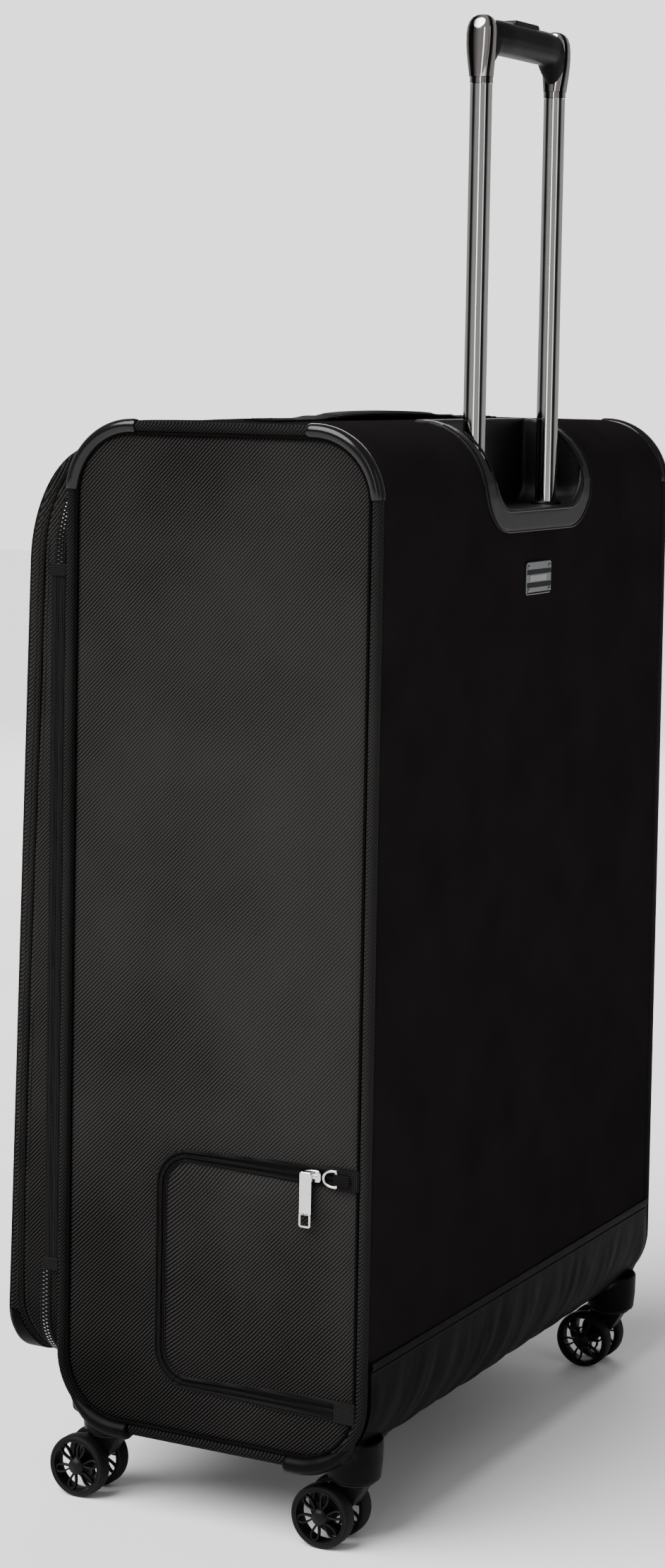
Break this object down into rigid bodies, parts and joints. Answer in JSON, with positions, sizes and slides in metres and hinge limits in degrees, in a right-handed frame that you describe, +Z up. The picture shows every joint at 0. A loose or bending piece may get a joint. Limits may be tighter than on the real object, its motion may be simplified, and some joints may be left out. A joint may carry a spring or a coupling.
{
  "type": "softside upright suitcase",
  "caption": "Softside upright suitcase with a telescopic trolley handle, twin-wheel swivel casters, a zipped lid, a side zip pocket and low carry handles.",
  "frame": {"origin": "on the floor, below the middle of the whole object's box", "axes": "+Z up; the lid faces -Y and the trolley handle stands at the +Y side; the zipped pocket and the lid's hinge tape are on the +X side"},
  "size_m": [0.5216, 0.3025, 1.0534],
  "materials": {
    "twill": "matte charcoal ballistic twill",
    "fine_weave": "matte black fine plain weave",
    "leatherette": "satin black embossed leatherette",
    "guard_plastic": "satin moulded dark grey",
    "cup_plastic": "fine texture moulded black",
    "wheel_plastic": "satin moulded black",
    "webbing": "woven polyester tape",
    "chrome": "bright polished",
    "steel": "bright nickel plated",
    "grip_plastic": "soft satin black"
  },
  "bodies": {
    "case": {"side_panel_left": "twill", "side_panel_right": "twill", "top_panel": "fine_weave", "back_panel": "fine_weave", "bottom_tray": "guard_plastic", "front_frame": "fine_weave", "piping_left": "twill", "piping_right": "twill", "trolley_cup": "cup_plastic", "id_plate": "steel", "base_band": "leatherette", "outer_tube_left": "steel", "outer_tube_right": "steel", "main_zip": "webbing", "hinge_tape": "twill", "side_zip": "webbing", "ring_loop": "webbing", "top_guard_front_left": "guard_plastic", "top_guard_back_left": "guard_plastic", "top_guard_front_right": "guard_plastic", "top_guard_back_right": "guard_plastic", "wheel_guard_front_left": "guard_plastic", "wheel_guard_back_left": "guard_plastic", "wheel_guard_front_right": "guard_plastic", "wheel_guard_back_right": "guard_plastic"},
    "trolley": {"handle_tube_left": "chrome", "handle_tube_right": "chrome", "grip": "grip_plastic", "grip_cap_left": "chrome", "grip_cap_right": "chrome"},
    "release_button": {"release_button": "grip_plastic"},
    "lid": {"lid_shell": "twill", "front_pocket_lower": "twill", "front_pocket_upper": "twill"},
    "side_slider": {"side_slider": "steel"},
    "side_pull": {"side_pull": "steel"},
    "d_ring": {"d_ring": "steel"},
    "top_handle": {"top_handle": "webbing"},
    "side_handle": {"side_handle": "webbing"},
    "main_slider_upper": {"main_slider_upper": "steel"},
    "main_slider_lower": {"main_slider_lower": "steel"},
    "main_pull_upper": {"main_pull_upper": "steel"},
    "main_pull_lower": {"main_pull_lower": "steel"},
    "caster_front_left": {"fork_front_left": "wheel_plastic", "axle_front_left": "steel"},
    "wheel_outer_front_left": {"wheel_outer_front_left": "wheel_plastic"},
    "wheel_inner_front_left": {"wheel_inner_front_left": "wheel_plastic"},
    "caster_back_left": {"fork_back_left": "wheel_plastic", "axle_back_left": "steel"},
    "wheel_outer_back_left": {"wheel_outer_back_left": "wheel_plastic"},
    "wheel_inner_back_left": {"wheel_inner_back_left": "wheel_plastic"},
    "caster_front_right": {"fork_front_right": "wheel_plastic", "axle_front_right": "steel"},
    "wheel_outer_front_right": {"wheel_outer_front_right": "wheel_plastic"},
    "wheel_inner_front_right": {"wheel_inner_front_right": "wheel_plastic"},
    "caster_back_right": {"fork_back_right": "wheel_plastic", "axle_back_right": "steel"},
    "wheel_outer_back_right": {"wheel_outer_back_right": "wheel_plastic"},
    "wheel_inner_back_right": {"wheel_inner_back_right": "wheel_plastic"}
  },
  "joints": [
    {"name": "trolley_slide", "type": "slide", "parent": "case", "child": "trolley", "axis": [0, 0, 1], "range_m": [-0.302, 0]},
    {"name": "button_press", "type": "slide", "parent": "trolley", "child": "release_button", "axis": [0, 0, -1], "range_m": [0, 0.003], "stiffness_N_per_m": 600, "springref_m": -0.002},
    {"name": "lid_hinge", "type": "hinge", "parent": "case", "child": "lid", "pos_m": [0.255, -0.0995, 0.42], "axis": [0, 0, 1], "range_deg": [0, 170]},
    {"name": "side_zip_slide", "type": "slide", "parent": "case", "child": "side_slider", "axis": [0, -1, 0], "range_m": [0, 0.088]},
    {"name": "side_pull_swing", "type": "hinge", "parent": "side_slider", "child": "side_pull", "pos_m": [0.26005, 0.103, 0.2623], "axis": [0, -1, 0], "range_deg": [0, 150]},
    {"name": "d_ring_swing", "type": "hinge", "parent": "case", "child": "d_ring", "pos_m": [0.2569, 0.1245, 0.26], "axis": [0, 0, 1], "range_deg": [0, 90]},
    {"name": "top_handle_lift", "type": "slide", "parent": "case", "child": "top_handle", "axis": [0, 0, 1], "range_m": [0, 0.022], "stiffness_N_per_m": 300, "springref_m": -0.003},
    {"name": "side_handle_lift", "type": "slide", "parent": "case", "child": "side_handle", "axis": [-1, 0, 0], "range_m": [0, 0.022], "stiffness_N_per_m": 300, "springref_m": -0.003},
    {"name": "main_zip_upper_slide", "type": "slide", "parent": "case", "child": "main_slider_upper", "axis": [0, 0, 1], "range_m": [0, 0.04]},
    {"name": "main_zip_lower_slide", "type": "slide", "parent": "case", "child": "main_slider_lower", "axis": [0, 0, -1], "range_m": [0, 0.36]},
    {"name": "main_pull_upper_swing", "type": "hinge", "parent": "main_slider_upper", "child": "main_pull_upper", "pos_m": [-0.25275, -0.102, 0.6053], "axis": [0, 1, 0], "range_deg": [0, 150]},
    {"name": "main_pull_lower_swing", "type": "hinge", "parent": "main_slider_lower", "child": "main_pull_lower", "pos_m": [-0.25275, -0.102, 0.5553], "axis": [0, 1, 0], "range_deg": [0, 150]},
    {"name": "swivel_front_left", "type": "hinge", "parent": "case", "child": "caster_front_left", "pos_m": [0.2269, -0.068, 0.05], "axis": [0, 0, 1], "continuous": true},
    {"name": "roll_outer_front_left", "type": "hinge", "parent": "caster_front_left", "child": "wheel_outer_front_left", "pos_m": [0.2269, -0.085, 0.022], "axis": [1, 0, 0], "continuous": true},
    {"name": "roll_inner_front_left", "type": "hinge", "parent": "caster_front_left", "child": "wheel_inner_front_left", "pos_m": [0.2269, -0.085, 0.022], "axis": [1, 0, 0], "continuous": true},
    {"name": "swivel_back_left", "type": "hinge", "parent": "case", "child": "caster_back_left", "pos_m": [0.2269, 0.127, 0.05], "axis": [0, 0, 1], "continuous": true},
    {"name": "roll_outer_back_left", "type": "hinge", "parent": "caster_back_left", "child": "wheel_outer_back_left", "pos_m": [0.2269, 0.11, 0.022], "axis": [1, 0, 0], "continuous": true},
    {"name": "roll_inner_back_left", "type": "hinge", "parent": "caster_back_left", "child": "wheel_inner_back_left", "pos_m": [0.2269, 0.11, 0.022], "axis": [1, 0, 0], "continuous": true},
    {"name": "swivel_front_right", "type": "hinge", "parent": "case", "child": "caster_front_right", "pos_m": [-0.2269, -0.068, 0.05], "axis": [0, 0, 1], "continuous": true},
    {"name": "roll_outer_front_right", "type": "hinge", "parent": "caster_front_right", "child": "wheel_outer_front_right", "pos_m": [-0.2269, -0.085, 0.022], "axis": [1, 0, 0], "continuous": true},
    {"name": "roll_inner_front_right", "type": "hinge", "parent": "caster_front_right", "child": "wheel_inner_front_right", "pos_m": [-0.2269, -0.085, 0.022], "axis": [1, 0, 0], "continuous": true},
    {"name": "swivel_back_right", "type": "hinge", "parent": "case", "child": "caster_back_right", "pos_m": [-0.2269, 0.127, 0.05], "axis": [0, 0, 1], "continuous": true},
    {"name": "roll_outer_back_right", "type": "hinge", "parent": "caster_back_right", "child": "wheel_outer_back_right", "pos_m": [-0.2269, 0.11, 0.022], "axis": [1, 0, 0], "continuous": true},
    {"name": "roll_inner_back_right", "type": "hinge", "parent": "caster_back_right", "child": "wheel_inner_back_right", "pos_m": [-0.2269, 0.11, 0.022], "axis": [1, 0, 0], "continuous": true}
  ]
}
